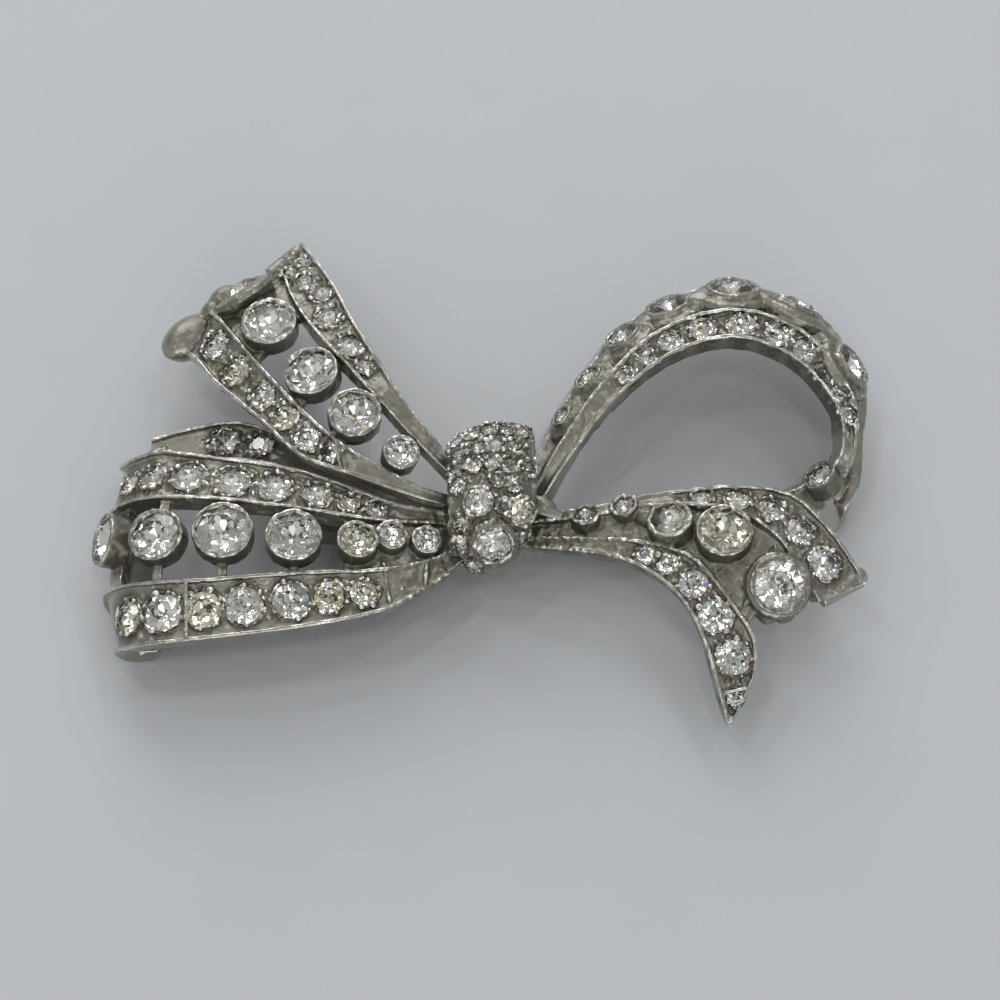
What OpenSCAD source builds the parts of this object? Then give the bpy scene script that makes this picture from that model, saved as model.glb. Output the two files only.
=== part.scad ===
// Bow brooch of cast metal set with clear stones: two loops, two tails and a knot.
// Millimetres. X runs along the bow, Y points to the upper tail and Z stands up from the table.
// Each ribbon is a pair of raised rails with a row of round settings between them.

/* [Ribbons] */
// Thickness of the bright raised edge on either side of a rail
edge_wall = 0.35; // [0.3:0.05:0.7]
// Depth of a rail's floor below its raised edges
rail_recess = 0.5; // [0.3:0.05:0.9]
// Depth of the dish along a plain stretch of rail
plain_recess = 0.15; // [0.1:0.05:0.3]
// Height of the side walls of the two tails and the left loop
rail_depth = 1.9; // [1.4:0.1:2.6]
// Height of the side walls round the opening of the right loop
loop_wall_depth = 2.5; // [1.8:0.1:3.2]
// Thickness of the plain closed stretches of ribbon
panel_thickness = 0.9; // [0.6:0.1:1.4]
// Sections drawn between two rows of a ribbon table
steps = 3; // [1:1:4]

/* [Settings] */
// Wall of a round setting in the middle row
collet_wall = 0.4; // [0.3:0.05:0.8]
// Height of a round setting
collet_height = 2.0; // [1.4:0.1:2.8]
// Rim of a round setting above the widest part of its stone
collet_rim = 0.2; // [0:0.05:0.4]
// Thickness of the struts from a round setting to the rails
strut = 0.8; // [0.5:0.1:1.2]
// Gap between a stone and the metal round it
seat_gap = 0.06; // [0.03:0.01:0.12]

/* [Stones] */
// Width of the flat table as a share of a stone's width
table_share = 0.56; // [0.5:0.02:0.66]
// Height of the crown as a share of the width
crown_share = 0.17; // [0.12:0.01:0.22]
// Depth of the pavilion as a share of the width
pavilion_share = 0.34; // [0.28:0.01:0.44]
// Thickness of the band round a main stone's widest part
girdle = 0.12; // [0.05:0.01:0.25]

/* [Pin] */
// Diameter of the pin stem
stem_d = 0.8; // [0.6:0.05:1.1]
// Length of the pin stem from hinge to catch
stem_length = 28; // [22:0.5:34]
// Height of the pin stem's axis above the table
stem_z = 1.15; // [0.9:0.05:1.6]
// Width of the bar on the back
bar_width = 1.8; // [1.2:0.1:2.6]
// Thickness of the bar on the back
bar_thickness = 0.6; // [0.4:0.1:1]

/* [Hidden] */
silver = [0.62, 0.62, 0.6];
glass = [0.85, 0.88, 0.9];
facets = 8;
// Middle of the bow's outline, which is put on the Z axis.
middle = [0.73, 3.45, 0];

// Rows of a ribbon run from the knot outwards. Columns: the four lines along the ribbon, which are
// the outer and inner edge of its right rail, then the inner and outer edge of its left rail, as
// seen when walking away from the knot. Each entry is [x, y, z].
upper_tail_rows = [
    [[-0.5, 1.8, 7.4], [-0.5, 0.9, 7.4], [-0.5, -0.2, 7.4], [-0.5, -1.2, 7.4]],
    [[-2.8, 3.9, 9.3], [-3.6, 2.7, 9.2], [-4.8, 0.2, 9.3], [-5, -1, 9.2]],
    [[-6.4, 8.2, 10.7], [-7.4, 6.5, 10.6], [-10.4, 2.8, 10.6], [-11.1, 0.8, 10.2]],
    [[-9.3, 13.2, 11], [-11.8, 11.6, 11.2], [-14.4, 6, 10.9], [-15.8, 2.8, 10.1]],
    [[-11.4, 17.1, 10.6], [-14.1, 14.5, 11], [-17.2, 9.2, 10.6], [-19.3, 6.5, 9.6]],
    [[-13, 20.8, 9.8], [-15.8, 17.1, 10.3], [-19.7, 12.3, 10.2], [-22, 9.2, 9.1]],
    [[-14.6, 24, 8.7], [-17.4, 20.5, 9.3], [-21.7, 15.3, 9.3], [-24.2, 11.7, 8.3]],
    [[-16, 26.6, 7.5], [-18.3, 23.6, 8], [-23.7, 18.4, 8.2], [-26.2, 14.7, 7.3]],
    [[-16.7, 27.8, 6.6], [-19.6, 24.3, 7], [-25.3, 20.6, 6.7], [-29.2, 17.6, 5.4]],
];

left_loop_rows = [
    [[0, -1.6, 7], [0, -2.6, 7], [0, -4, 7], [0, -5.4, 6.9]],
    [[-4, -1.1, 7.6], [-4, -2.8, 7.9], [-4, -6.2, 7.8], [-4, -8.8, 7.3]],
    [[-8.5, -0.3, 8.2], [-8.7, -2.9, 8.6], [-8.5, -7.6, 8.7], [-8, -11.5, 8]],
    [[-15.5, 2.2, 8.9], [-15.8, -2.2, 9.6], [-15.6, -8.3, 9.5], [-15.2, -13.3, 8.4]],
    [[-23, 3.4, 9], [-23.2, -1.4, 9.9], [-23.4, -9, 9.6], [-23, -14.4, 8.5]],
    [[-28.2, 4.4, 8.4], [-28.7, -1, 9.3], [-29.2, -9, 8.8], [-28.4, -14.7, 7.8]],
    [[-31, 4.4, 7], [-31.6, -0.8, 7.6], [-32, -8.6, 7], [-30.9, -14.5, 6.2]],
    [[-32.5, 4.6, 5], [-33.3, -0.8, 5.2], [-33.4, -8.3, 4.8], [-32, -13.8, 4.2]],
    [[-32.4, 5.6, 2.6], [-33.2, -0.2, 2.4], [-33.3, -8.4, 2.3], [-31.9, -13.4, 2.3]],
    [[-31.6, 7, 0.9], [-32.3, 1.4, 0.7], [-32.3, -8.8, 0.6], [-31, -13.1, 0.7]],
    [[-29.2, 8.4, 0.3], [-29.6, 4, 0.1], [-29.4, -8.8, 0], [-28.8, -12.7, 0.1]],
];

left_back_rows = [
    [[-2.2, 0, 5], [-2.2, -1.6, 5], [-2.2, -3.6, 5], [-2.2, -5, 5]],
    [[-6, 1.4, 5], [-6, -0.6, 5], [-6, -4.9, 4.8], [-6, -6.9, 4.7]],
    [[-12, 4.7, 4.8], [-11.8, 1.7, 4.7], [-11, -6.6, 4.1], [-10.5, -9, 4.1]],
    [[-17.6, 8.2, 4.2], [-17.2, 4.7, 4.1], [-16.5, -7.3, 3.3], [-16, -10.4, 3.3]],
    [[-22.1, 10.2, 3.5], [-21.6, 6.1, 3.3], [-22.4, -7.8, 2.6], [-22, -11.2, 2.6]],
    [[-26.5, 9.9, 2.8], [-26.4, 6.2, 2.7], [-27.9, -8.4, 2.1], [-27.7, -11.9, 2.1]],
    [[-30.2, 9, 2.3], [-30.8, 4.6, 2.2], [-30.6, -8.6, 2], [-30, -12.9, 2]],
];

right_loop_rows = [
    [[5.5, -0.8, 7.2], [4.6, 0.6, 7.2], [4.2, 2, 6.4], [4.2, 2.8, 5.1]],
    [[8.5, 3.5, 8.8], [7.2, 4.5, 8.9], [6.3, 6.5, 6.9], [6, 7.5, 5]],
    [[12.3, 8.6, 9.7], [10.9, 10.1, 9.9], [9.4, 12.5, 7.1], [9, 13.5, 4.8]],
    [[17.6, 13.1, 10.5], [16.2, 15.5, 10.7], [14.7, 19, 7.4], [14.2, 20.2, 4.7]],
    [[23.5, 14.8, 10.8], [23.6, 17.9, 11], [23.6, 22.8, 7.2], [23.6, 24, 4.4]],
    [[29, 12.7, 10.4], [30.3, 15.4, 10.5], [32.1, 19.4, 6.8], [32.9, 20.2, 4]],
    [[32.3, 8.8, 9.5], [34, 10, 9.3], [35.6, 12, 6.2], [35.6, 12.4, 3.3]],
    [[33, 6.3, 8.6], [34.5, 6.7, 8.2], [35.3, 7.3, 5], [35, 7.5, 2.4]],
    [[32.5, 4.1, 6.8], [33.7, 3.4, 6], [34.7, 2.7, 3.6], [34.4, 2.6, 1.3]],
    [[29, 2, 5], [30.2, 1, 4.4], [31.2, -0.4, 2.7], [31.2, -0.6, 0.72]],
    [[22, 0.4, 4.6], [22, -0.8, 4.2], [22, -1.8, 2.6], [22, -2, 1]],
    [[12, -0.6, 4.9], [12, -1.8, 4.7], [12, -2.7, 3.4], [12, -3.1, 2.2]],
    [[4, -0.6, 4.6], [4, -1.6, 4.4], [4, -2.4, 3.4], [4, -2.8, 2.6]],
];

lower_tail_rows = [
    [[2.5, -4.4, 6.7], [2.5, -3.6, 6.9], [2.5, -2.4, 6.9], [2.5, -1.6, 6.8]],
    [[9.5, -5.5, 7.6], [9.6, -4.1, 7.8], [10, -2.2, 8], [10, -1.1, 7.9]],
    [[13.5, -6.8, 8.2], [14.2, -4.7, 8.6], [14.4, -1.7, 9.1], [14, -0.5, 8.8]],
    [[16.6, -9, 8.4], [18.6, -6.3, 9.2], [18.5, -1.9, 9.8], [18, -0.1, 9.3]],
    [[18.6, -11.5, 8.1], [21, -8.8, 9], [22.6, -2.6, 10.2], [23, 0.3, 9.5]],
    [[19.8, -14, 7.4], [22.8, -11.2, 8.3], [26, -4.6, 9.9], [28, -0.3, 9.1]],
    [[20.7, -16.8, 6.5], [24.4, -13.6, 7.2], [28, -7, 9.1], [31.3, -3.3, 8.4]],
    [[21.3, -18.8, 5.6], [24.4, -16.6, 6], [29.3, -9.2, 8.4], [33.3, -6, 7.6]],
    [[21.9, -20.9, 4.8], [22.4, -20.6, 4.9], [30.2, -10.3, 7.2], [34.6, -8.2, 6.7]],
];

// Rows over the knot from its upper end to its lower end. Columns: edge at the left, edge at the
// right as [x, y, z], and the height of the crown between them.
knot_rows = [
    [[-1.8, 5.8, 7.2], [4.6, 6.6, 7.6], 0.6],
    [[-2.4, 4.4, 9.4], [5, 5.4, 9.9], 1.1],
    [[-2.6, 1.4, 11], [5.3, 1.8, 11.3], 1.4],
    [[-2.5, -1.5, 11.3], [5.3, -1.5, 11.3], 1.4],
    [[-2.4, -4.2, 10.2], [4.9, -4.2, 10.3], 1.4],
    [[-2.2, -6, 8.2], [4.2, -5.6, 8.4], 1.3],
    [[-1, -6.9, 6.2], [2.8, -6.6, 6.2], 0.6],
];

// Main stones of the middle rows. Columns: station along the ribbon, in rows of its table; line
// across it, where 1 and 2 are the inner edges of its rails; width; rise above those edges; and,
// in degrees, how far the stone leans away from the knot and towards the ribbon's left rail.
upper_tail_main = [
    [7.45, 1.55, 3.9, 0.2, 22, 0],
    [5.6, 1.5, 4.3, 0.6, -10, 0],
    [3.65, 1.5, 4.2, 0.5, 0, 0],
    [2.45, 1.5, 4, 0.5, 0, 0],
    [1.55, 1.5, 2.5, 0.4, 0, 0],
];
left_loop_main = [
    [6.35, 1.42, 4.1, 0.85, 11, 0],
    [4.8, 1.5, 4.2, 0.8, 0, 0],
    [3.85, 1.45, 4.6, 0.8, 0, 0],
    [3.05, 1.5, 4.2, 0.8, 0, 0],
    [2.3, 1.5, 2.9, 0.7, 0, 0],
    [1.8, 1.35, 2.1, 0.4, 0, 0],
    [1.1, 1.5, 2, 0.3, 0, 0],
];
right_loop_main = [
    [1.4, 1.55, 1.6, 0.3, 0, 0],
    [2.05, 1.55, 2.2, 0.3, 0, 0],
    [2.7, 1.57, 2.8, 0.4, 0, 0],
    [3.3, 1.58, 3.4, 0.4, 0, 0],
    [4, 1.58, 4, 0.5, 0, 0],
    [4.72, 1.6, 3.8, 0.4, 0, 20],
    [5.65, 1.55, 3.6, 0.4, 0, 0],
];
lower_tail_main = [
    [0.95, 2.3, 1.9, -0.2, 0, 15],
    [1.7, 2.35, 1.8, -0.1, 0, 10],
    [2.65, 1.6, 3.3, 0.3, 0, 20],
    [3.95, 1.65, 4.2, 0.5, 0, 8],
    [5.9, 1.62, 4.4, 0.5, 0, 0],
];

// Small stones of the rails. Columns: station; line, where 0.5 and 2.5 are the middles of the
// rails; width.
upper_tail_small = [
    [6.7, 0.75, 1.5], [6.7, 0.31, 1.2], [5.95, 0.5, 1.9], [5.25, 0.32, 2.1],
    [4.5, 0.5, 2.4], [3.4, 0.5, 2.3], [2.85, 0.5, 1.6],
    [7.6, 2.5, 2.2], [6.7, 2.5, 2.4], [5.6, 2.5, 2.6], [4.45, 2.5, 2.3], [3.7, 2.5, 2.3], [3.05, 2.5, 2.2],
    [2.5, 2.45, 1.7],
];
left_loop_small = [
    [6.05, 0.5, 1.8], [5.2, 0.5, 2.3], [4.45, 0.5, 3.1], [3.8, 0.5, 3.2], [3.3, 0.5, 2.9], [2.8, 0.5, 2.5],
    [2.4, 0.5, 1.8], [2.05, 0.5, 1.6],
    [5.7, 2.5, 2.8], [4.7, 2.5, 3.3], [4.1, 2.5, 3.2], [3.6, 2.5, 3.2], [3.1, 2.5, 3.1], [2.65, 2.5, 2.7],
    [2.25, 2.5, 2.3],
];
left_back_small = [
    [4.35, 0.5, 2.4], [3.6, 0.5, 2.1],
];
right_loop_small = [
    [2.4, 0.5, 1.7], [2.75, 0.5, 1.8], [3.1, 0.5, 2], [3.55, 0.5, 2.3], [4.1, 0.5, 2.4], [4.6, 0.5, 2.3],
    [5.05, 0.5, 2.1], [5.5, 0.5, 2.1], [5.95, 0.5, 1.9], [6.5, 0.5, 1.5],
];
lower_tail_small = [
    [2.25, 0.5, 1.6], [2.75, 0.5, 1.9], [3.6, 0.5, 2.5], [4.75, 0.5, 2.9], [6.1, 0.5, 3], [7.3, 0.5, 1.4],
    [3.4, 2.5, 1.7], [4.1, 2.5, 2.1], [4.8, 2.5, 2.3], [5.6, 2.5, 2.4], [6.7, 2.5, 2.8],
];

// Stone in the bend of the right loop, on its inner face. Columns: centre, facing, width.
bend_stone = [[31, 3.3, 5.6], [-0.56, 0.35, 0.75], 2.6];

// Stones on the knot. Columns: row of the knot's table; place across, from -1 to 1; width.
knot_main = [
    [4.5, 0.12, 3.1],
    [3.35, -0.3, 2.3],
    [3.6, 0.72, 2.3],
];
// Rows of small stones over the upper half of the knot. Columns: row; count; width; half spread;
// shift of the whole row towards the right.
knot_pave_rows = [
    [0.65, 4, 1.5, 0.66, 0.08],
    [1.22, 5, 1.35, 0.8, -0.02],
    [1.78, 4, 1.5, 0.66, -0.1],
    [2.35, 5, 1.3, 0.8, 0.02],
];
knot_extra = [
    [2.85, -0.78, 1.2], [2.8, 0.1, 1.1], [2.9, 0.52, 1.2],
    [3.95, -0.68, 1.2], [4.5, -0.72, 1.3], [3.5, 0.25, 1.1], [5.3, -0.5, 1.3], [4.5, 0.86, 1],
];

knot_pave = [
    for (r = knot_pave_rows, k = [0:r[1] - 1])
        [r[0], r[3] * (2 * k / (r[1] - 1) - 1) + r[4], r[2]]
];

function unit(v) = v / norm(v);
function mix(a, b, t) = a + (b - a) * t;

// Value of a table at a fractional row, on a smooth curve through its rows.
function row_at(rows, s) =
    let (
        last = len(rows) - 1,
        i = min(max(floor(s), 0), last - 1),
        t = s - i,
        a = rows[max(i - 1, 0)],
        b = rows[i],
        c = rows[i + 1],
        d = rows[min(i + 2, last)]
    )
    0.5 * (2 * b + t * (c - a) + t * t * (2 * a - 5 * b + 4 * c - d) + t * t * t * (3 * b - 3 * c + d - a));

// A place is [origin, direction along, direction across, direction up].
function place(rows, s, line) =
    let (
        pair = min(floor(line), 2),
        here = row_at(rows, s),
        back = row_at(rows, max(s - 0.05, 0)),
        ahead = row_at(rows, min(s + 0.05, len(rows) - 1)),
        along = ahead[pair] + ahead[pair + 1] - back[pair] - back[pair + 1],
        across = unit(here[pair + 1] - here[pair]),
        up = unit(cross(along, across))
    )
    [mix(here[pair], here[pair + 1], line - pair), cross(across, up), across, up];

function place_facing(origin, up) =
    let (across = unit(cross(up, [1, 0, 0])))
    [origin, cross(across, unit(up)), across, unit(up)];

function at(p, x, y, z) = p[0] + x * p[1] + y * p[2] + z * p[3];
function raised(p, h) = [at(p, 0, 0, h), p[1], p[2], p[3]];
function leaned(p, a) = [p[0], p[1] * cos(a) - p[3] * sin(a), p[2], p[3] * cos(a) + p[1] * sin(a)];
function rolled(p, a) = [p[0], p[1], p[2] * cos(a) - p[3] * sin(a), p[3] * cos(a) + p[2] * sin(a)];

// Widest part of a stone: above the middle row for main stones, near a rail's floor for small ones.
function main_place(rows, r) = rolled(leaned(raised(place(rows, r[0], r[1]), r[3]), r[4]), r[5]);
function small_place(rows, r) = raised(place(rows, r[0], r[1]), 0.1 - rail_recess);

// Point and place on the crowned face of the knot.
function knot_point(s, f) =
    let (
        here = row_at(knot_rows, s),
        back = row_at(knot_rows, max(s - 0.05, 0)),
        ahead = row_at(knot_rows, min(s + 0.05, len(knot_rows) - 1)),
        across = unit(here[1] - here[0]),
        up = unit(cross(ahead[0] + ahead[1] - back[0] - back[1], across))
    )
    mix(here[0], here[1], (f + 1) / 2) + here[2] * (1 - f * f) * up;

function knot_place(r) =
    let (
        across = unit(knot_point(r[0], r[1] + 0.05) - knot_point(r[0], r[1] - 0.05)),
        along = knot_point(r[0] + 0.05, r[1]) - knot_point(r[0] - 0.05, r[1]),
        up = unit(cross(along, across))
    )
    [knot_point(r[0], r[1]), cross(across, up), across, up];

// Stations from one row to another.
function stations(from, to) =
    let (n = max(1, ceil((to - from) * steps)))
    [for (k = [0:n]) mix(from, to, k / n)];

module placed() {
    translate(-middle) children();
}

module aligned(p) {
    multmatrix([for (i = [0:2]) [p[1][i], p[2][i], p[3][i], p[0][i]]]) children();
}

// Closed solid through sections that have the same number of points; caps list the end faces.
module skin(sections, caps) {
    n = len(sections[0]);
    m = len(sections);
    sides = [
        for (k = [0:m - 2], j = [0:n - 1])
            let (a = k * n + j, b = k * n + (j + 1) % n)
            each [[a, b, b + n], [a, b + n, a + n]]
    ];
    front = [for (f = caps) [for (i = [len(f) - 1:-1:0]) f[i]]];
    back = [for (f = caps) [for (i = f) i + (m - 1) * n]];
    polyhedron(points = [for (s = sections) each s], faces = concat(sides, front, back));
}

// Rail of a ribbon between line and line + 1: a shallow channel with a raised edge on each side.
// Its floor is sunk where it carries stones, from set_from to set_to.
module rail(rows, line, from, to, depth = rail_depth, set_from = 0, set_to = 99) {
    skin([
        for (s = stations(from, to))
            let (
                p = place(rows, s, line),
                w = norm(row_at(rows, s)[line + 1] - row_at(rows, s)[line]),
                t = min(edge_wall, w / 4),
                r = s >= set_from && s <= set_to ? rail_recess : plain_recess
            )
            [
                at(p, 0, 0, 0), at(p, 0, t, 0), at(p, 0, t, -r), at(p, 0, w - t, -r),
                at(p, 0, w - t, 0), at(p, 0, w, 0), at(p, 0, w, -depth), at(p, 0, 0, -depth)
            ]
    ], [[0, 1, 2, 7], [2, 3, 6, 7], [3, 4, 5, 6]]);
}

// Plain closed stretch of ribbon between two lines, sunk below them.
module panel(rows, line, to_line, from, to, sink = 0.7) {
    skin([
        for (s = stations(from, to))
            let (
                row = row_at(rows, s),
                p = place(rows, s, line),
                a = row[line],
                b = row[to_line],
                up = unit(cross(p[1], b - a)),
                lap = 0.2 * unit(b - a)
            )
            [
                a - lap - sink * up, b + lap - sink * up,
                b + lap - (sink + panel_thickness) * up, a - lap - (sink + panel_thickness) * up
            ]
    ], [[0, 1, 2, 3]]);
}

// Round setting of a main stone, without its seat.
module collet(p, d) {
    aligned(p) translate([0, 0, collet_rim - collet_height])
        cylinder(d = d + 2 * collet_wall, h = collet_height, $fn = 2 * facets);
}

// Struts from an open round setting to the rails on both sides, which they meet that many rows
// further out.
module struts(rows, r, shift = 0) {
    for (line = [1, 2])
        hull() {
            translate(at(main_place(rows, r), 0, 0, -1.2)) cube(strut, center = true);
            translate(at(place(rows, r[0] + shift, line), 0, 0.6 * line - 0.9, -1))
                cube(strut, center = true);
        }
}

// Space that a stone takes in the metal.
module seat(p, d) {
    aligned(p) translate([0, 0, -pavilion_share * d - 0.1])
        cylinder(d = d + 2 * seat_gap, h = d, $fn = facets);
}

// Cut stone with a table, eight crown facets and eight pavilion facets.
module stone(p, d, band) {
    ring = [for (k = [0:facets - 1]) [cos(360 * k / facets), sin(360 * k / facets)] * d / 2];
    levels = band > 0
        ? [[table_share, crown_share * d], [1, band / 2], [1, -band / 2]]
        : [[table_share, crown_share * d], [1, 0]];
    rings = [for (l = levels, q = ring) at(p, q[0] * l[0], q[1] * l[0], l[1])];
    last = (len(levels) - 1) * facets;
    color(glass) placed()
        polyhedron(
            points = concat(rings, [at(p, 0, 0, -pavilion_share * d)]),
            faces = concat(
                [[for (k = [facets - 1:-1:0]) k]],
                [
                    for (l = [0:len(levels) - 2], k = [0:facets - 1])
                        let (a = l * facets + k, b = l * facets + (k + 1) % facets)
                        [a, b, b + facets, a + facets]
                ],
                [for (k = [0:facets - 1]) [last + k, last + (k + 1) % facets, last + facets]]
            )
        );
}

module upper_tail() {
    color(silver) placed() difference() {
        union() {
            rail(upper_tail_rows, 0, 0, 8, set_from = 2.5, set_to = 7.8);
            rail(upper_tail_rows, 2, 0, 8, set_from = 2.2, set_to = 7.8);
            panel(upper_tail_rows, 1, 2, 5.3, 7.5);
            for (r = upper_tail_main) collet(main_place(upper_tail_rows, r), r[2]);
            for (k = [2:4]) struts(upper_tail_rows, upper_tail_main[k]);
        }
        for (r = upper_tail_main) seat(main_place(upper_tail_rows, r), r[2]);
        for (r = upper_tail_small) seat(small_place(upper_tail_rows, r), r[2]);
    }
}

module left_loop() {
    color(silver) placed() difference() {
        union() {
            rail(left_loop_rows, 0, 0, 10, set_from = 1.7);
            rail(left_loop_rows, 2, 0, 10, set_from = 2);
            rail(left_back_rows, 0, 0, 6);
            panel(left_back_rows, 2, 3, 0, 6, sink = 0);
            panel(left_loop_rows, 1, 2, 0.2, 2.45);
            panel(left_loop_rows, 1, 2, 6, 10);
            for (r = left_loop_main) collet(main_place(left_loop_rows, r), r[2]);
            for (k = [1:3]) struts(left_loop_rows, left_loop_main[k]);
        }
        for (r = left_loop_main) seat(main_place(left_loop_rows, r), r[2]);
        for (r = left_loop_small) seat(small_place(left_loop_rows, r), r[2]);
        for (r = left_back_small) seat(small_place(left_back_rows, r), r[2]);
    }
}

module right_loop() {
    bend = place_facing(bend_stone[0], bend_stone[1]);
    color(silver) placed() difference() {
        union() {
            rail(right_loop_rows, 0, 0, 8.5, depth = loop_wall_depth, set_from = 2.2, set_to = 7.3);
            panel(right_loop_rows, 2, 3, 0, 8.5, sink = 0);
            panel(right_loop_rows, 1, 2, 0.3, 8.5, sink = 0.8);
            panel(right_loop_rows, 0, 3, 8.3, 12, sink = 0);
            collet(bend, bend_stone[2]);
            for (r = right_loop_main) collet(main_place(right_loop_rows, r), r[2]);
        }
        seat(bend, bend_stone[2]);
        for (r = right_loop_main) seat(main_place(right_loop_rows, r), r[2]);
        for (r = right_loop_small) seat(small_place(right_loop_rows, r), r[2]);
    }
}

module lower_tail() {
    color(silver) placed() difference() {
        union() {
            rail(lower_tail_rows, 0, 0, 8, set_from = 2, set_to = 7.8);
            rail(lower_tail_rows, 2, 0, 8, set_from = 3, set_to = 7.8);
            panel(lower_tail_rows, 1, 2, 0.2, 5.2);
            struts(lower_tail_rows, lower_tail_main[4], -0.55);
            for (r = lower_tail_main) collet(main_place(lower_tail_rows, r), r[2]);
        }
        for (r = lower_tail_main) seat(main_place(lower_tail_rows, r), r[2]);
        for (r = lower_tail_small) seat(small_place(lower_tail_rows, r), r[2]);
    }
}

// Domed band over the middle. Its underside is hollow and takes in the roots of the ribbons.
module knot() {
    across = [-1, -0.6, 0, 0.6, 1];
    thickness = 2.2;
    n = len(across);
    color(silver) placed() difference() {
        skin([
            for (s = stations(0, 6))
                let (
                    l = knot_point(s, -1),
                    r = knot_point(s, 1),
                    down = unit(mix(l, r, 0.5) - knot_point(s, 0)) * thickness
                )
                concat([for (f = across) knot_point(s, f)], [r + down, l + down])
        ], [[for (k = [0:n + 1]) k]]);
        translate([-6, -5, 0]) cube([14, 9.6, 9.5]);
        translate([-6, -7, 0]) cube([6.6, 6, 8.1]);
        for (r = knot_main) {
            p = knot_place(r);
            seat(raised(p, 0.1), r[2]);
        }
        for (r = concat(knot_pave, knot_extra)) seat(knot_place(r), r[2]);
    }
}

module pin_back() {
    color(silver) placed() {
        translate([-15, -bar_width / 2, 2]) cube([30, bar_width, bar_thickness]);
        translate([-2, -3, 2]) cube([5.8, 5.5, 2.9]);
        translate([-15, -bar_width / 2, 0]) cube([2.2, bar_width, 2.1]);
        translate([12.8, -0.6, 0]) cube([2.2, 1.2, 2.1]);
        translate([-13.5, 0, stem_z]) rotate([0, 90, 0]) cylinder(d = stem_d, h = stem_length, $fn = 24);
    }
}

module main_stone(rows, r) {
    stone(main_place(rows, r), r[2], girdle);
}

module right_loop_bend_stone() {
    stone(place_facing(bend_stone[0], bend_stone[1]), bend_stone[2], girdle);
}

module knot_stone(r) {
    stone(raised(knot_place(r), 0.1), r[2], girdle);
}

module knot_small_stones() {
    for (r = concat(knot_pave, knot_extra)) stone(knot_place(r), r[2], 0);
}

module small_stones(rows, table) {
    for (r = table) stone(small_place(rows, r), r[2], 0);
}

upper_tail();
left_loop();
right_loop();
lower_tail();
knot();
pin_back();
main_stone(upper_tail_rows, upper_tail_main[0]);  // upper_tail_stone_1
main_stone(upper_tail_rows, upper_tail_main[1]);  // upper_tail_stone_2
main_stone(upper_tail_rows, upper_tail_main[2]);  // upper_tail_stone_3
main_stone(upper_tail_rows, upper_tail_main[3]);  // upper_tail_stone_4
main_stone(upper_tail_rows, upper_tail_main[4]);  // upper_tail_stone_5
main_stone(left_loop_rows, left_loop_main[0]);  // left_loop_stone_1
main_stone(left_loop_rows, left_loop_main[1]);  // left_loop_stone_2
main_stone(left_loop_rows, left_loop_main[2]);  // left_loop_stone_3
main_stone(left_loop_rows, left_loop_main[3]);  // left_loop_stone_4
main_stone(left_loop_rows, left_loop_main[4]);  // left_loop_stone_5
main_stone(left_loop_rows, left_loop_main[5]);  // left_loop_stone_6
main_stone(left_loop_rows, left_loop_main[6]);  // left_loop_stone_7
main_stone(right_loop_rows, right_loop_main[0]);  // right_loop_stone_1
main_stone(right_loop_rows, right_loop_main[1]);  // right_loop_stone_2
main_stone(right_loop_rows, right_loop_main[2]);  // right_loop_stone_3
main_stone(right_loop_rows, right_loop_main[3]);  // right_loop_stone_4
main_stone(right_loop_rows, right_loop_main[4]);  // right_loop_stone_5
main_stone(right_loop_rows, right_loop_main[5]);  // right_loop_stone_6
main_stone(right_loop_rows, right_loop_main[6]);  // right_loop_stone_7
main_stone(lower_tail_rows, lower_tail_main[0]);  // lower_tail_stone_1
main_stone(lower_tail_rows, lower_tail_main[1]);  // lower_tail_stone_2
main_stone(lower_tail_rows, lower_tail_main[2]);  // lower_tail_stone_3
main_stone(lower_tail_rows, lower_tail_main[3]);  // lower_tail_stone_4
main_stone(lower_tail_rows, lower_tail_main[4]);  // lower_tail_stone_5
right_loop_bend_stone();
knot_stone(knot_main[0]);  // knot_stone_1
knot_stone(knot_main[1]);  // knot_stone_2
knot_stone(knot_main[2]);  // knot_stone_3
small_stones(upper_tail_rows, upper_tail_small);  // upper_tail_small_stones
small_stones(left_loop_rows, left_loop_small);  // left_loop_small_stones
small_stones(right_loop_rows, right_loop_small);  // right_loop_small_stones
small_stones(lower_tail_rows, lower_tail_small);  // lower_tail_small_stones
small_stones(left_back_rows, left_back_small);  // left_back_small_stones
knot_small_stones();
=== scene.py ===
"""Bow brooch of cast white metal set with clear foil-backed stones, lying on a pale table."""

import math
import random

import bpy
import numpy as np
from mathutils import Matrix, Vector


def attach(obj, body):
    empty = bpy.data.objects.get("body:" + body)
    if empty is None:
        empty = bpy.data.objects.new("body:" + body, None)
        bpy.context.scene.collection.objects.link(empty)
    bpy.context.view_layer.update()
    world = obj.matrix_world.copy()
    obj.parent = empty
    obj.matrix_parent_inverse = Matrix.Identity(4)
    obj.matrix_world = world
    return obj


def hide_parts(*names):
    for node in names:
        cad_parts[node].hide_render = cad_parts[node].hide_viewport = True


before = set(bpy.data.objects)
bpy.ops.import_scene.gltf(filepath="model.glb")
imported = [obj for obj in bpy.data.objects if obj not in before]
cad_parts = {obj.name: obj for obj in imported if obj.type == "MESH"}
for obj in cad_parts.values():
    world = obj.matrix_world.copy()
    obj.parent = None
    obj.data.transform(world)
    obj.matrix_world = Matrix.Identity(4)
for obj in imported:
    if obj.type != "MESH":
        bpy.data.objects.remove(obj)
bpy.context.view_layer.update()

# Castings: the two loops, the two tails and the knot. The real pieces are a zinc and tin
# alloy poured in a mould, with soft corners, slightly lumpy faces and cups for the stones.
# Grains of the same metal were pushed over the edges of the small stones.
MM = 0.001  # metres in a millimetre
CELL = 0.1  # millimetres between the points of a finished casting
MOST_TRIANGLES = 190000  # in one casting
dice = random.Random(31)


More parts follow.
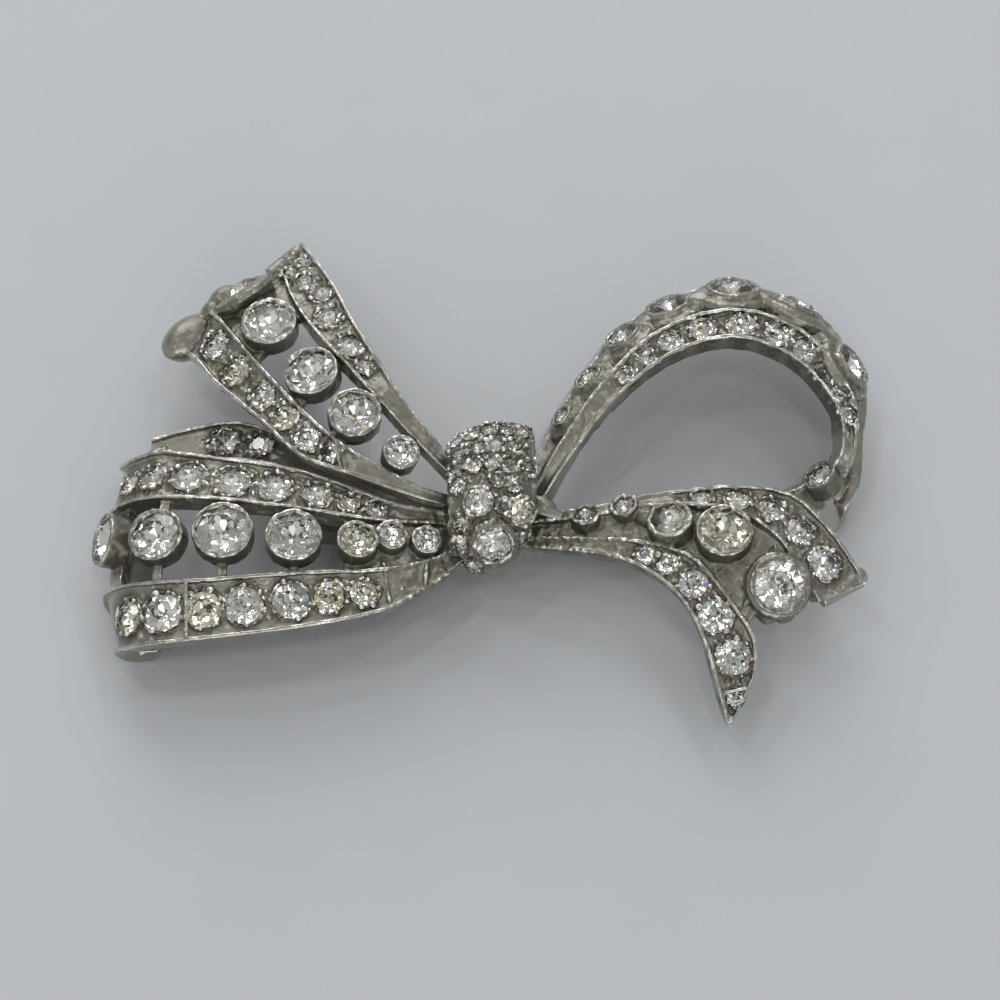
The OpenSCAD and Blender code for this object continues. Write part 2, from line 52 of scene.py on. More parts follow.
def stones_in(*nodes):
    """Centre, turn and width in millimetres of every stone in these nodes.

    The turn's columns are two directions across the stone and the one that it faces.
    """
    found = []
    for node in nodes:
        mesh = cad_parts[node].data
        points = np.array([v.co for v in mesh.vertices]) / MM
        corners = np.array([[mesh.loops[i].vertex_index for i in f.loop_indices]
                            for f in mesh.polygons])
        points, place = np.unique(points.round(4), axis=0, return_inverse=True)
        corners = place.reshape(-1)[corners]
        # The corners of a triangle take the lowest of their labels, until each solid has one.
        label = np.arange(len(points))
        while True:
            before = label.copy()
            lowest = label[corners].min(axis=1)
            for k in range(3):
                np.minimum.at(label, corners[:, k], lowest)
            if (label == before).all():
                break
        for one in np.unique(label):
            solid = points[label == one]
            middle = solid.mean(axis=0)
            axes = np.linalg.eigh(np.cov((solid - middle).T))[1]
            facing = axes[:, 0]  # a stone is thinner than it is wide
            heights = (solid - middle) @ facing
            if heights.max() > -heights.min():
                facing = -facing  # the point of the stone is its far end
            across = solid - middle - np.outer((solid - middle) @ facing, facing)
            reach = np.linalg.norm(across, axis=1)
            ring = solid[reach > reach.max() * 0.98]  # the widest part
            centre = ring.mean(axis=0)
            side = across[reach.argmax()] / reach.max()
            turn = Matrix((side, np.cross(facing, side), facing)).transposed()
            found.append((Vector(centre), turn, 2 * reach.max()))
    return found


def deselect():
    """Leaves edit mode and selects nothing."""
    if bpy.context.mode != "OBJECT":
        bpy.ops.object.mode_set(mode="OBJECT")
    bpy.ops.object.select_all(action="DESELECT")


def finished_with(piece, kind, **settings):
    """Adds one modifier to a piece and applies it."""
    bpy.context.view_layer.objects.active = piece
    bpy.ops.object.modifier_add(type=kind)
    modifier = piece.modifiers[-1]
    for name, value in settings.items():
        setattr(modifier, name, value)
    bpy.ops.object.modifier_apply(modifier=modifier.name)


def lumps(name, size):
    """Soft random swellings of that size in millimetres."""
    texture = bpy.data.textures.new(name, "CLOUDS")
    texture.noise_scale = size
    texture.noise_depth = 1
    return texture


broad_lumps = lumps("broad lumps", 2.4)
fine_lumps = lumps("fine lumps", 0.7)


def add_rim(stone, over, thickness, out):
    """Ring of metal round a stone, out from its edge and over its widest part, in edit mode."""
    centre, turn, width = stone
    bpy.ops.mesh.primitive_torus_add(
        align="WORLD", location=centre + turn.col[2] * over, rotation=turn.to_euler(),
        major_segments=30, minor_segments=8, major_radius=width / 2 + out, minor_radius=thickness)


def add_lump(place, reach, turn=(0, 0, 0)):
    """Rounded lump of metal with that reach along each of its own axes, in edit mode."""
    bpy.ops.mesh.primitive_ico_sphere_add(
        subdivisions=3 if max(reach) > 0.6 else 2, radius=1, location=place, rotation=turn,
        scale=reach)


def add_bar(start, end, thickness):
    """Round bar of metal from one place to another, in edit mode."""
    start, end = Vector(start), Vector(end)
    bpy.ops.mesh.primitive_cylinder_add(
        vertices=12, radius=thickness / 2, depth=(end - start).length, location=(start + end) / 2,
        rotation=(end - start).to_track_quat("Z", "Y").to_euler())


def beside(stone, angle, out, over):
    """A place at that angle round a stone, out from its edge and over its widest part."""
    centre, turn, width = stone
    way = turn.col[0] * math.cos(angle) + turn.col[1] * math.sin(angle)
    return centre + way * (width / 2 + out) + turn.col[2] * over


def add_petals(stone, count, radius, out, over):
    """Scalloped collar round a stone, in edit mode."""
    for k in range(count):
        angle = 2 * math.pi * (k + dice.uniform(-0.15, 0.15)) / count
        add_lump(beside(stone, angle, out, over), [radius * dice.uniform(0.85, 1.1)] * 3)


def add_grains(stone, row):
    """Metal pushed over the edge of a small stone, and rough metal on both sides in its row."""
    centre, turn, width = stone
    size = 0.28 if width > 1.5 else 0.19  # of a grain
    add_rim(stone, over=-0.06, thickness=size * 0.5, out=0.2)
    for k in range(5):
        angle = 2 * math.pi * (k + dice.uniform(0.2, 0.8)) / 5
        radius = size * dice.uniform(0.7, 1.2)
        add_lump(beside(stone, angle, radius * 0.5 + 0.06, 0.05), [radius] * 3)
    by_distance = sorted(row, key=lambda other: (other[0] - centre).length)
    for other in by_distance[1:3]:  # the stone itself comes first
        way = other[0] - centre
        gap = min(way.length - width / 2 - other[2] / 2, 1)
        middle = centre + way.normalized() * (width / 2 + gap / 2)
        across = turn.col[2].cross(way).normalized()
        for k in range(4):
            aside = across * width * (k - 1.5 + dice.uniform(-0.4, 0.4)) * 0.22
            radius = size * dice.uniform(0.9, 1.5)
            add_lump(middle + aside - turn.col[2] * radius * 0.7, [radius] * 3)


def add_heap(start, end, spread, count, size):
    """Rough metal heaped along a line, in edit mode."""
    for k in range(count):
        aside = Vector([dice.uniform(-spread, spread), dice.uniform(-spread, spread), 0])
        radius = size * dice.uniform(0.6, 1.2)
        add_lump(Vector(start).lerp(Vector(end), k / (count - 1)) + aside, [radius] * 3)


def loose_metal(add, *given):
    """Metal added in a mesh of its own, to be fused with a casting later."""
    deselect()
    holder = bpy.data.objects.new("added metal", bpy.data.meshes.new("added metal"))
    bpy.context.scene.collection.objects.link(holder)
    bpy.context.view_layer.objects.active = holder
    bpy.ops.object.mode_set(mode="EDIT")
    add(*given)
    bpy.ops.object.mode_set(mode="OBJECT")
    return holder


def corners_of(piece):
    """The piece's points and the directions that they face."""
    mesh = piece.data
    read = {}
    for name in ("co", "normal"):
        values = np.empty(len(mesh.vertices) * 3)
        mesh.vertices.foreach_get(name, values)
        read[name] = values.reshape(-1, 3)
    return read["co"], read["normal"]


def near_stones(points, stones, reach, above, start=0.0, below=3):
    """From 0 to 1, how close each point is to a stone, out to that reach from its edge.

    Points further over or below the stone's widest part than these heights are left out, and all
    limits are soft.
    """
    closest = np.zeros(len(points))
    for centre, turn, width in stones:
        offset = points - np.array(centre)
        height = offset @ np.array(turn.col[2])
        aside = np.linalg.norm(offset - np.outer(height, turn.col[2]), axis=1)
        share = np.clip(1.3 - 1.3 * (aside - width / 2 - start) / reach, 0, 1)
        share *= np.clip((above - height) / 0.15, 0, 1) * np.clip((height + below) / 0.3, 0, 1)
        share *= aside > width / 2 - 0.1
        closest = np.maximum(closest, share)
    return closest


def keep(piece, name, values):
    """Stores one number for each point in the piece's mesh."""
    layer = piece.data.attributes.new(name, "FLOAT", "POINT")
    layer.data.foreach_set("value", values.astype(np.float32))


def mark_wear_and_hollows(piece, near=5, far=60):
    """Keeps how far each point stands proud of the metal round it, which shows as wear, and how
    far it is sunk, which darkens it with age and painted shade in the hollows.

    The metal round a point is a copy of the piece after that many near or far rounds of smoothing.
    """
    points, normals = corners_of(piece)
    mesh = piece.data
    edges = np.empty(len(mesh.edges) * 2, dtype=int)
    mesh.edges.foreach_get("vertices", edges)
    a, b = edges.reshape(-1, 2).T
    count = np.bincount(np.concatenate([a, b]), minlength=len(points))[:, None]
    smooth = points.copy()
    proud = {}
    for turn in range(1, far + 1):
        total = np.stack([
            np.bincount(a, smooth[b, k], len(points)) + np.bincount(b, smooth[a, k], len(points))
            for k in range(3)], axis=1)
        smooth = 0.3 * smooth + 0.7 * total / np.maximum(count, 1)
        if turn in (near, far):
            proud[turn] = ((points - smooth) * normals).sum(axis=1)
    keep(piece, "worn", proud[near])
    keep(piece, "sunk", -proud[far])


def roughen(piece, uneven, depth):
    """Pushes the metal in and out at random where it is uneven."""
    group = piece.vertex_groups.new(name="rough")
    levels = np.round(uneven * 10).astype(int)
    for level in range(1, 11):
        group.add(np.nonzero(levels == level)[0].tolist(), level / 10, "REPLACE")
    finished_with(piece, "DISPLACE", texture=fine_lumps, strength=depth, mid_level=0.5,
                  vertex_group="rough")


def cast(node, mains, smalls, details, dark_patches=(), flat_shade=0.62, rough=0.45):
    """A casting from the form of its solid, with rims and grains fused to it.

    The patches list where soiling and painted shade darken the metal, how far and how much. The
    share for flat metal is painted shade on metal that faces up, and rough is how far the metal
    between the small stones is pushed in and out.
    """
    added = [loose_metal(add_petals, stone, 5, 0.22, 0.17, 0.02) for stone in mains]
    added += [loose_metal(add_grains, stone, smalls) for stone in smalls]
    added.append(loose_metal(details))
    deselect()
    piece = bpy.data.objects.new("cast_" + node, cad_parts[node].data.copy())
    bpy.context.scene.collection.objects.link(piece)
    piece.data.transform(Matrix.Scale(1 / MM, 4))
    piece.data.materials.clear()
    piece.select_set(True)
    bpy.context.view_layer.objects.active = piece
    bpy.ops.object.mode_set(mode="EDIT")
    bpy.ops.mesh.select_all(action="SELECT")
    bpy.ops.mesh.remove_doubles(threshold=0.0005)
    bpy.ops.object.mode_set(mode="OBJECT")
    for one in added:
        one.select_set(True)
    bpy.ops.object.join()
    finished_with(piece, "REMESH", mode="VOXEL", voxel_size=CELL, adaptivity=0)
    finished_with(piece, "SMOOTH", factor=0.5, iterations=3)
    points, normals = corners_of(piece)
    dirt_and_shade = np.maximum.reduce([
        near_stones(points, smalls, reach=1.8, above=0.32),  # dirt and painted shade between the small stones
        0.8 * near_stones(points, mains, reach=0.9, above=0.6),  # dirt and painted shade on the rims of the cups
        0.9 * near_stones(points, mains, reach=2.0, above=-0.05, start=0.3),  # painted shade at their feet
        flat_shade * np.clip(3 * normals[:, 2] - 1.8, 0, 1)])  # painted shade on metal that faces up
    uneven = np.maximum(near_stones(points, smalls, reach=1.8, above=0.32, below=1),
                        0.4 * near_stones(points, mains, reach=2.5, above=0.6))
    for place, reach, depth in dark_patches:
        away = np.linalg.norm(points - np.array(place), axis=1)
        patch = depth * np.clip(2 - 2 * away / reach, 0, 1)
        dirt_and_shade = np.maximum(dirt_and_shade, patch)
        uneven = np.maximum(uneven, 0.6 * patch)
    roughen(piece, uneven, rough)
    finished_with(piece, "DISPLACE", texture=broad_lumps, strength=0.1, mid_level=0.5)
    normals = corners_of(piece)[1]
    # Painted shade on steep and overhanging metal.
    wall_shade = 0.25 * np.clip(1 - 1.5 * normals[:, 2], 0, 1)
    keep(piece, "dirt_and_shade", np.maximum(dirt_and_shade, wall_shade))
    mark_wear_and_hollows(piece)
    triangles = 2 * len(piece.data.polygons)
    if triangles > MOST_TRIANGLES:
        finished_with(piece, "DECIMATE", ratio=MOST_TRIANGLES / triangles)
    piece.vertex_groups.clear()
    piece.data.transform(Matrix.Scale(MM, 4))
    bpy.ops.object.shade_smooth()
    piece.data.materials.append(cast_metal)
    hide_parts(node)
    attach(piece, "root")


def node_in(tree, kind, **settings):
    """Adds a shader node with these values for its inputs and settings."""
    made = tree.nodes.new(kind)
    for name, value in settings.items():
        if name in made.inputs:
            made.inputs[name].default_value = value
        else:
            setattr(made, name, value)
    return made


def ranged(tree, low, high, to_low, to_high):
    """Node that maps one span of values onto another and keeps within it."""
    made = node_in(tree, "ShaderNodeMapRange")
    for name, value in (("From Min", low), ("From Max", high),
                        ("To Min", to_low), ("To Max", to_high)):
        made.inputs[name].default_value = value
    return made


def joined(tree, *pairs):
    """Links each output to the input beside it."""
    for output, input_ in pairs:
        tree.links.new(output, input_)


COLOUR_A, COLOUR_B, MIXED = 6, 7, 2  # sockets of a mix of colours


def tarnish_and_shade_group():
    """Colour, roughness and relief of white metal: bright where rubbed, and where sunk olive dark
    with age and painted shade.
    """
    group = bpy.data.node_groups.new("tarnish_and_shade", "ShaderNodeTree")
    for name, kind in (("Worn", "NodeSocketFloat"), ("Sunk", "NodeSocketFloat"),
                       ("Dirt_and_shade", "NodeSocketFloat"), ("Bright", "NodeSocketColor"),
                       ("Grey", "NodeSocketColor"), ("Dark", "NodeSocketColor")):
        group.interface.new_socket(name, in_out="INPUT", socket_type=kind)
    for name, kind in (("Colour", "NodeSocketColor"), ("Roughness", "NodeSocketFloat"),
                       ("Metal", "NodeSocketFloat"), ("Height", "NodeSocketFloat")):
        group.interface.new_socket(name, in_out="OUTPUT", socket_type=kind)
    given = node_in(group, "NodeGroupInput")
    made = node_in(group, "NodeGroupOutput")
    where = node_in(group, "ShaderNodeTexCoord")
    patches = node_in(group, "ShaderNodeTexNoise", Scale=1100.0, Detail=4.0, Roughness=0.55)
    specks = node_in(group, "ShaderNodeTexNoise", Scale=4200.0, Detail=3.0, Roughness=0.6)
    joined(group, (where.outputs["Object"], patches.inputs["Vector"]),
           (where.outputs["Object"], specks.inputs["Vector"]))
    # Bright only where it is rubbed, in patches. Dirt and painted shade darken the metal between
    # the stones and where it is sunk, but not where it is rubbed. Worn and sunk are in
    # millimetres.
    deep = ranged(group, 0.0, 0.3, 0, 0.95)
    rubbed = ranged(group, 0.016, 0.042, 0, 1)
    darkening_patch = ranged(group, 0.35, 0.65, 0.82, 1.15)
    shine_patch = ranged(group, 0.4, 0.62, 1, 0.35)
    shiny = node_in(group, "ShaderNodeMath", operation="MULTIPLY")
    darkening = node_in(group, "ShaderNodeMath", operation="MAXIMUM")
    patchy_darkening = node_in(group, "ShaderNodeMath", operation="MULTIPLY")
    darkening_left = node_in(group, "ShaderNodeMath", operation="MULTIPLY_ADD", use_clamp=True)
    darkening_left.inputs[1].default_value = -0.9  # for each share of shine
    joined(group, (given.outputs["Sunk"], deep.inputs["Value"]),
           (given.outputs["Worn"], rubbed.inputs["Value"]),
           (patches.outputs["Fac"], darkening_patch.inputs["Value"]),
           (patches.outputs["Fac"], shine_patch.inputs["Value"]),
           (rubbed.outputs["Result"], shiny.inputs[0]),
           (shine_patch.outputs["Result"], shiny.inputs[1]),
           (given.outputs["Dirt_and_shade"], darkening.inputs[0]),
           (deep.outputs["Result"], darkening.inputs[1]),
           (darkening.outputs["Value"], patchy_darkening.inputs[0]),
           (darkening_patch.outputs["Result"], patchy_darkening.inputs[1]),
           (shiny.outputs["Value"], darkening_left.inputs[0]),
           (patchy_darkening.outputs["Value"], darkening_left.inputs[2]))
    greyed = node_in(group, "ShaderNodeMix", data_type="RGBA")
    final = node_in(group, "ShaderNodeMix", data_type="RGBA")
    joined(group, (shiny.outputs["Value"], greyed.inputs["Factor"]),
           (given.outputs["Grey"], greyed.inputs[COLOUR_A]),
           (given.outputs["Bright"], greyed.inputs[COLOUR_B]),
           (darkening_left.outputs["Value"], final.inputs["Factor"]),
           (greyed.outputs[MIXED], final.inputs[COLOUR_A]),
           (given.outputs["Dark"], final.inputs[COLOUR_B]),
           (final.outputs[MIXED], made.inputs["Colour"]))
    rough = ranged(group, 0, 1, 0.17, 0.42)
    metal = ranged(group, 0, 1, 1, 0.6)
    joined(group, (darkening_left.outputs["Value"], rough.inputs["Value"]),
           (rough.outputs["Result"], made.inputs["Roughness"]),
           (darkening_left.outputs["Value"], metal.inputs["Value"]),
           (metal.outputs["Result"], made.inputs["Metal"]),
           (specks.outputs["Fac"], made.inputs["Height"]))
    return group


tarnish_and_shade = tarnish_and_shade_group()


def tarnished_and_shaded_metal(name, bright, grey, dark, marked=True):
    """Metal of three shades. A marked piece keeps its own wear, soiling and painted shade in its
    mesh.
    """
    material = bpy.data.materials.new(name)
    material.use_nodes = True
    tree = material.node_tree
    shader = tree.nodes["Principled BSDF"]
    effect = node_in(tree, "ShaderNodeGroup", node_tree=tarnish_and_shade)
    relief = node_in(tree, "ShaderNodeBump", Strength=0.25, Distance=0.00004)
    shader.inputs["Coat Weight"].default_value = 0.4
    shader.inputs["Coat Roughness"].default_value = 0.15
    for shade, colour in (("Bright", bright), ("Grey", grey), ("Dark", dark)):
        effect.inputs[shade].default_value = (*colour, 1)
    effect.inputs["Dirt_and_shade"].default_value = 0.5
    for kept in ("worn", "sunk", "dirt_and_shade") if marked else ():
        mark = node_in(tree, "ShaderNodeAttribute", attribute_name=kept)
        joined(tree, (mark.outputs["Fac"], effect.inputs[kept.capitalize()]))
    joined(tree, (effect.outputs["Colour"], shader.inputs["Base Color"]),
           (effect.outputs["Roughness"], shader.inputs["Roughness"]),
           (effect.outputs["Metal"], shader.inputs["Metallic"]),
           (effect.outputs["Height"], relief.inputs["Height"]),
           (relief.outputs["Normal"], shader.inputs["Normal"]))
    return material


cast_metal = tarnished_and_shaded_metal("cast white metal", bright=(0.95, 0.935, 0.89),
                             grey=(0.47, 0.453, 0.4), dark=(0.108, 0.101, 0.071))


def main_stones(ribbon, count):
    """The large stones of a ribbon, in their order along it."""
    return stones_in(*[f"{ribbon}_stone_{k + 1}" for k in range(count)])


# Upper tail: a casting that lies over the left loop. Its left tip is a big rounded nose, its right
# tip is thick, and between them the edge swells in a lobe round the last stone.
upper_tail_stones = main_stones("upper_tail", 5)


def upper_tail_details():
    add_lump((-27.3, 14.3, 5.8), (3.3, 2.0, 1.8), (0, 0.25, 0.8))  # nose
    add_lump((-25.3, 16.9, 6.4), (1.5, 1, 0.9), (0, 0, 0.8))  # neck from the nose to the lobe
    add_lump((-24.4, 18.1, 6.5), (1.7, 1.1, 1.1), (0, 0, 0.7))  # left end of the lobe
    add_bar((-20.1, 20.7, 6.5), (-17.5, 23.5, 6.2), 1.6)  # edge of the thick tip
    add_heap((-19.6, 19.8, 7.1), (-17.6, 22.6, 6.8), 0.7, 9, 0.45)  # rough metal on that tip
    add_rim(upper_tail_stones[0], over=-0.55, thickness=0.75, out=0.4)  # lobe
    add_bar((-13.6, 1.5, 10.75), (-12.8, -1.9, 10.1), 0.4)  # ridge where the set rail ends


cast("upper_tail", upper_tail_stones, stones_in("upper_tail_small_stones"), upper_tail_details,
     flat_shade=0.75,
     dark_patches=(((-4, 2, 8.5), 3, 0.8),  # dirt and painted shade beside the knot
            ((-22.5, 16.5, 5.5), 2.6, 0.9),  # dirt and painted shade between the nose and the last stone
            ((-29.6, 12.4, 4.6), 2.8, 0.9)))  # painted shade on the outer side of the nose


# Left loop: a wide openwork casting that curls under at the left, with the edge of its back layer
# above. The lower rail has a dividing wall near the curl and ends in a plain panel with two ribs.
def left_loop_details():
    add_bar((-26.1, -12.9, 9.3), (-25.9, -17.6, 8.5), 0.35)  # dividing wall
    add_bar((-8.9, -10.3, 8.2), (-8.3, -14, 7.7), 0.45)  # first rib of the panel
    add_bar((-5.1, -10.3, 7.7), (-5.2, -12.2, 7.5), 0.4)  # second rib
    add_lump((-25, -2.95, 9.2), (0.4, 0.4, 0.35))  # bead between two small stones


cast("left_loop", main_stones("left_loop", 7),
     stones_in("left_loop_small_stones", "left_back_small_stones"), left_loop_details,
     dark_patches=(((-7, -12, 7.9), 3.4, 0.8), ((-4, -11, 7.4), 2.5, 0.9),  # dirt and painted shade on the plain panel
            ((-5, -6.5, 8.2), 3, 0.9),  # dirt and painted shade at the middle row's end at the knot
            ((-26.5, 2.8, 7), 4.5, 1)))  # dirt and painted shade at the back layer's left end


# Right loop: a casting like a ring stood on its side, with a plain inner wall, a set rail along
# the top and a row of cups swelling out of the outer wall like petals.
right_loop_stones = main_stones("right_loop", 7)


def add_swellings(stones, share, depth):
    """Smooth metal that fills the dips between neighbouring round settings of a row."""
    for one, other in zip(stones, stones[1:]):
        way = other[0] - one[0]
        facing = (one[1].col[2] + other[1].col[2]).normalized()
        place = (one[0] + other[0]) / 2 - facing * depth
        size = (one[2] + other[2]) / 4
        add_lump(place, (way.length * 0.45, size * share, size * share * 0.8),
                 way.to_track_quat("X", "Z").to_euler())


def right_loop_details():
    for stone in right_loop_stones:
        add_rim(stone, over=-0.5, thickness=0.45, out=0.3)
        add_rim(stone, over=-1.1, thickness=0.8, out=0.7)  # shoulder of the cup
    for stone in right_loop_stones[3:]:
        add_petals(stone, 7, 0.5, out=0.25, over=-0.35)
    add_swellings(right_loop_stones, 0.8, 0.8)
    add_bar((3.6, -4.2, 7.5), (6.9, -5.3, 7.1), 1.2)  # web of metal beside the knot
    add_lump((5.2, -4.2, 7.5), (1.4, 0.8, 0.6), (0, 0.15, -0.4))


# The dark patches under each cup are painted shade.
cast("right_loop", right_loop_stones + stones_in("right_loop_bend_stone"),
     stones_in("right_loop_small_stones"), right_loop_details, flat_shade=0.72,
     dark_patches=[(stone[0] - stone[1].col[2] * 1.9, 3.8, 0.9) for stone in right_loop_stones])


# Lower tail: a casting with two points. The long curved one is notched across near its end and
# finishes in a small ball, the other is thick, and a lobe runs round the last large stone.
lower_tail_stones = main_stones("lower_tail", 5)


def lower_tail_details():
    add_lump((21.45, -23.85, 4.7), (0.42, 0.42, 0.38))  # ball
    add_bar((20.7, -21.75, 5.5), (22.9, -21.35, 5.8), 0.35)  # upper edge of the notch
    add_bar((20.9, -22.6, 5.2), (22.5, -22.3, 5.4), 0.35)  # lower edge of the notch
    add_bar((33.2, -10.9, 6.1), (29.7, -12.9, 6), 1.7)  # edge of the thick point
    add_lump((33.1, -10.8, 6.2), (0.9, 1, 0.8))  # corner of the thick point
    add_rim(lower_tail_stones[4], over=-0.5, thickness=0.5, out=0.35)
    for place in ((27.4, -13.6, 7), (26.3, -14.7, 6.9), (24.9, -14.8, 6.9), (28.2, -11, 7.5),
                  (27.6, -10, 7.8)):
        add_lump(place, (1, 0.9, 0.8))  # swellings of the lobe
    add_swellings(lower_tail_stones[:3], 0.7, 0.7)


cast("lower_tail", lower_tail_stones, stones_in("lower_tail_small_stones"), lower_tail_details,
     flat_shade=0.8,
     dark_patches=(((5.4, -6.8, 7.5), 3.2, 1), ((7.5, -7.1, 7.7), 3.4, 1), ((11, -8, 8), 4, 0.8),  # dirt and painted shade at the root
            ((20.5, -10.8, 6.2), 4.5, 1)))  # dirt and painted shade between the rails


# Knot: a casting like a domed band over the middle of the bow, crowded with small stones above
# three larger ones, rough between them, with a smooth lip under the largest.
knot_stones = stones_in("knot_stone_1", "knot_stone_2", "knot_stone_3")


def knot_details():
    for stone in knot_stones:
        add_rim(stone, over=-0.05, thickness=0.18, out=0.14)
    add_rim(knot_stones[0], over=-0.5, thickness=0.4, out=0.4)


cast("knot", knot_stones, stones_in("knot_small_stones"), knot_details, flat_shade=0.85, rough=0.7)


# Stones: round cut glass with a flat table, backed with silver foil that has aged to grey and
# yellow in places. Each lies in its seat and is held by the metal over its edge.
TABLE, CROWN, GIRDLE = 0.27, 0.16, 0.012  # shares of the stone's width
LEAN = 0.06  # radians that a stone may lean in its seat, each way


def cut_stone():
    """One stone of unit width, cut from a round blank facet by facet, with its point down."""
    deselect()
    bpy.ops.mesh.primitive_cylinder_add(vertices=32, radius=0.5, depth=1)
    stone = bpy.context.object
    bpy.ops.object.mode_set(mode="EDIT")

    def cut(turn, slope, radius, height, side):
        """Takes off what lies outside a plane that leans at slope and passes through a point."""
        a, s = math.radians(turn), math.radians(slope)
        bpy.ops.mesh.select_all(action="SELECT")
        bpy.ops.mesh.bisect(
            plane_co=(radius * math.cos(a), radius * math.sin(a), side * height),
            plane_no=(math.sin(s) * math.cos(a), math.sin(s) * math.sin(a), side * math.cos(s)),
            use_fill=True, clear_outer=True)

    cut(0, 0, 0, CROWN, 1)  # the table
    for k in range(8):
        cut(45 * k, 34.5, TABLE, CROWN, 1)  # main facets of the front
        cut(45 * k + 22.5, 24, TABLE * math.cos(math.pi / 8), CROWN, 1)  # round the table
        cut(45 * k + 22.5, 41, 0.49, GIRDLE, 1)  # over the edge
    for k in range(8):
        cut(45 * k, 41, 0.485, GIRDLE, -1)  # main facets of the back
        cut(45 * k + 22.5, 43, 0.475, GIRDLE, -1)  # under the edge
        cut(45 * k + 22.5, 34, 0.2, 0.25, -1)  # round the point
    bpy.ops.object.mode_set(mode="OBJECT")
    return stone


def clear_glass():
    """Clear glass with a trace of warmth."""
    material = bpy.data.materials.new("clear cut glass")
    material.use_nodes = True
    tree = material.node_tree
    shader = tree.nodes["Principled BSDF"]
    shader.inputs["Transmission Weight"].default_value = 1
    shader.inputs["IOR"].default_value = 1.56
    shader.inputs["Roughness"].default_value = 0.0
    shader.inputs["Base Color"].default_value = (0.97, 0.975, 0.95, 1)
    return material


def foil_back():
    """Silver foil on the back facets. Each facet keeps its own tint in the mesh, which holds
    painted shade and painted colour flashes on some facets.
    """
    material = bpy.data.materials.new("foil back")
    material.use_nodes = True
    tree = material.node_tree
    shader = tree.nodes["Principled BSDF"]
    tint = node_in(tree, "ShaderNodeAttribute", attribute_name="foil")
    shader.inputs["Metallic"].default_value = 1
    shader.inputs["Roughness"].default_value = 0.1
    joined(tree, (tint.outputs["Color"], shader.inputs["Base Color"]))
    return material


stone_slots = (clear_glass(), foil_back())
pattern = cut_stone()
for face in pattern.data.polygons:
    face.material_index = 1 if face.normal.z < -0.2 else 0
at_edge = [face.center.z < 0 and face.center.xy.length > 0.4 for face in pattern.data.polygons]
# Painted colour flashes: tints of the few facets that stand in for the fire of cut glass.
PAINTED_FLASH_TINTS = ((0.65, 0.6, 1.0), (1.0, 0.93, 0.65), (0.7, 0.95, 0.85), (0.65, 0.78, 1.0))


def foil_tint(dull):
    """Foil colour of one stone: that share has gone grey, some have yellowed, most are clear."""
    age = dice.random()
    if age < dull:
        return (0.58, 0.565, 0.51)
    if age < dull + 0.25:
        return (0.96, 0.93, 0.83)
    return (0.98, 0.97, 0.945)


def set_stone(place, name, dull):
    """A copy of the cut stone in its seat, turned and tipped a little at random."""
    centre, turn, width = place
    stone = bpy.data.objects.new(name, pattern.data.copy())
    bpy.context.scene.collection.objects.link(stone)
    tip = (Matrix.Rotation(dice.uniform(-LEAN, LEAN), 4, "X")
           @ Matrix.Rotation(dice.uniform(-LEAN, LEAN), 4, "Y"))
    spin = Matrix.Rotation(dice.uniform(0, math.pi), 4, "Z")
    stone.data.transform(Matrix.Translation(centre * MM) @ turn.to_4x4() @ tip @ spin
                         @ Matrix.Scale(width * MM, 4))
    base = foil_tint(dull)
    layer = stone.data.color_attributes.new("foil", "FLOAT_COLOR", "CORNER")
    for face, near_edge in zip(stone.data.polygons, at_edge):
        tint = dice.choice(PAINTED_FLASH_TINTS) if dice.random() < 0.025 else (1, 1, 1)
        # The facets at the edge, and some of the others, are darker: worn foil, and painted shade
        # in place of dark reflections.
        worst = 0.55 if near_edge or dice.random() < 0.18 else 0.86
        shade = dice.uniform(worst, worst + 0.17)
        for corner in face.loop_indices:
            layer.data[corner].color = (*[b * t * shade for b, t in zip(base, tint)], 1)
    for material in stone_slots:
        stone.data.materials.append(material)
    return stone


def set_stones(node):
    """All stones of one node as one piece. More of the knot's small stones have gone dull."""
    deselect()
    dull = 0.4 if node == "knot_small_stones" else 0.03 if "small" in node else 0
    fuller = 0.16 if "small" in node else 0  # millimetres more than the solid, up to the metal
    made = [set_stone((centre, turn, width + fuller), "cut_" + node, dull)
            for centre, turn, width in stones_in(node)]
    for stone in made:
        stone.select_set(True)
    bpy.context.view_layer.objects.active = made[0]
    if len(made) > 1:
        bpy.ops.object.join()
    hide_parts(node)
    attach(made[0], "root")


for node in sorted(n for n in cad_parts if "stone" in n):
    set_stones(node)
bpy.data.objects.remove(pattern)


# Pin: a hinge block, a catch and a stem of drawn wire on a flat bar, all of plain whitish metal
# and soldered to the back. It keeps the form of its solid, because the bow hides it.
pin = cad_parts["pin_back"]
pin.data.materials.clear()
pin.data.materials.append(tarnished_and_shaded_metal("pin metal", bright=(0.7, 0.69, 0.66), marked=False,
                                          grey=(0.45, 0.44, 0.42), dark=(0.2, 0.19, 0.16)))


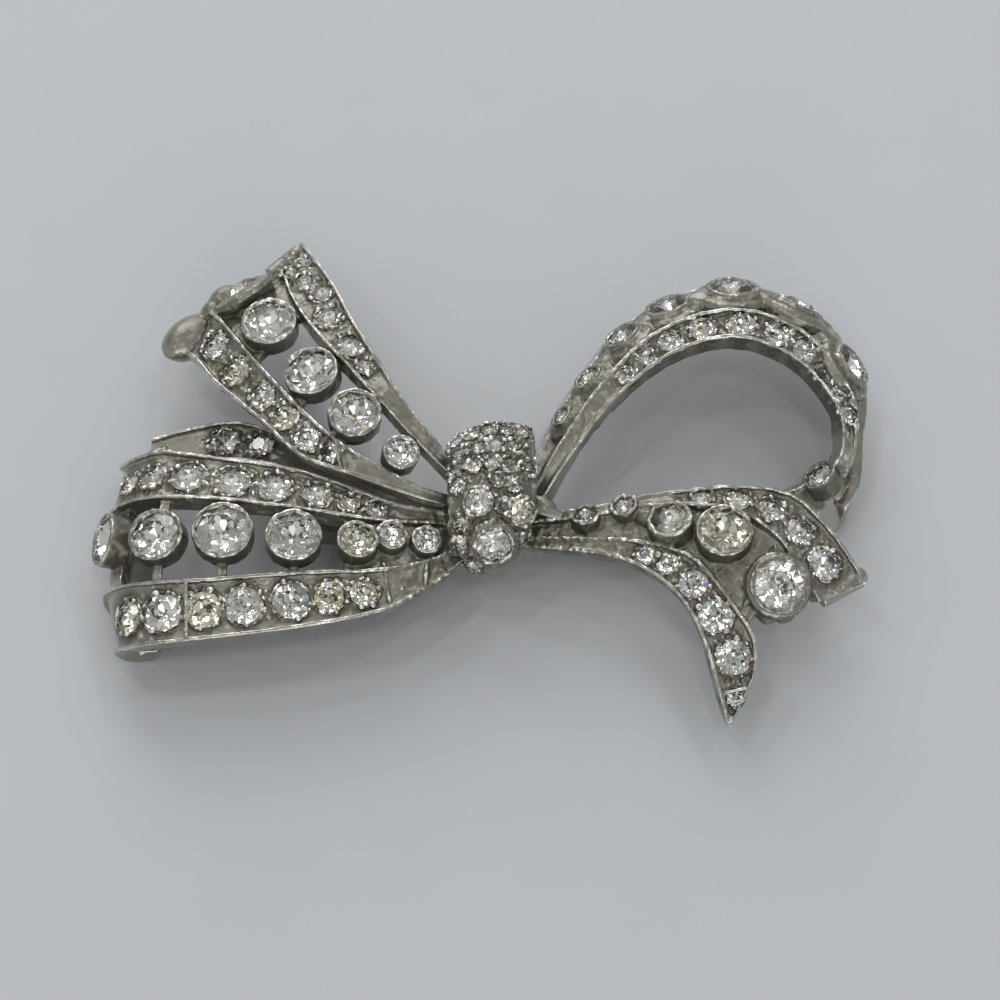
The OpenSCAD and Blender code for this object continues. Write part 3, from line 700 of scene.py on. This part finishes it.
# Table, light and camera: the brooch lies face up on a pale painted table, in soft daylight from
# behind, with a few small bulbs overhead that make the stones sparkle.
bpy.ops.mesh.primitive_plane_add(size=3)
table_top = bpy.context.object
table_top.name = "table_top"
pale = bpy.data.materials.new("pale table")
pale.use_nodes = True
pale_shader = pale.node_tree.nodes["Principled BSDF"]
pale_shader.inputs["Roughness"].default_value = 0.7
table_place = node_in(pale.node_tree, "ShaderNodeTexCoord")
mottle = node_in(pale.node_tree, "ShaderNodeTexNoise", Scale=90.0, Detail=6.0, Roughness=0.6)
pale_mix = node_in(pale.node_tree, "ShaderNodeMix", data_type="RGBA")
pale_mix.inputs[COLOUR_A].default_value = (0.525, 0.54, 0.555, 1)
pale_mix.inputs[COLOUR_B].default_value = (0.555, 0.57, 0.585, 1)
joined(pale.node_tree, (table_place.outputs["Object"], mottle.inputs["Vector"]),
       (mottle.outputs["Fac"], pale_mix.inputs["Factor"]),
       (pale_mix.outputs[MIXED], pale_shader.inputs["Base Color"]))
table_top.data.materials.append(pale)


def lamp(name, place, size, power):
    """Round soft lamp that shines at the middle of the brooch."""
    light = bpy.data.lights.new(name, "AREA")
    light.shape = "DISK"
    light.size = size
    light.energy = power
    holder = bpy.data.objects.new(name, light)
    bpy.context.scene.collection.objects.link(holder)
    holder.location = place
    holder.rotation_euler = (-Vector(place)).to_track_quat("-Z", "Y").to_euler()


lamp("window", (-0.12, 0.85, 0.52), 0.85, 4.1)
lamp("pale wall in front", (0.15, -0.9, 0.4), 0.9, 1.7)
bulbs = ((-0.45, 0.3), (-0.2, 0.1), (0.25, 0.5), (0.35, 0.15), (0.1, -0.25), (-0.3, -0.3))
for k, (x, y) in enumerate(bulbs):
    lamp(f"ceiling bulb {k + 1}", (x, y, 0.8), 0.1, 0.3)
world = bpy.data.worlds.new("room")
world.use_nodes = True
world.node_tree.nodes["Background"].inputs["Color"].default_value = (0.97, 0.985, 1, 1)
world.node_tree.nodes["Background"].inputs["Strength"].default_value = 0.46
bpy.context.scene.world = world
bpy.context.scene.view_settings.view_transform = "Standard"

camera_data = bpy.data.cameras.new("camera")
camera_data.lens = 104.4  # the picture is then about 90 mm wide at the brooch
camera_data.clip_start = 0.01
camera = bpy.data.objects.new("camera", camera_data)
bpy.context.scene.collection.objects.link(camera)
aim = Vector((1.37, -3.45, 7)) * MM  # in the middle of the picture
rise = math.radians(62)  # over the table
distance = 0.26
back = Vector((0, -math.cos(rise), math.sin(rise)))
camera.location = aim + back * distance
camera.rotation_euler = (-back).to_track_quat("-Z", "Y").to_euler()
bpy.context.scene.camera = camera
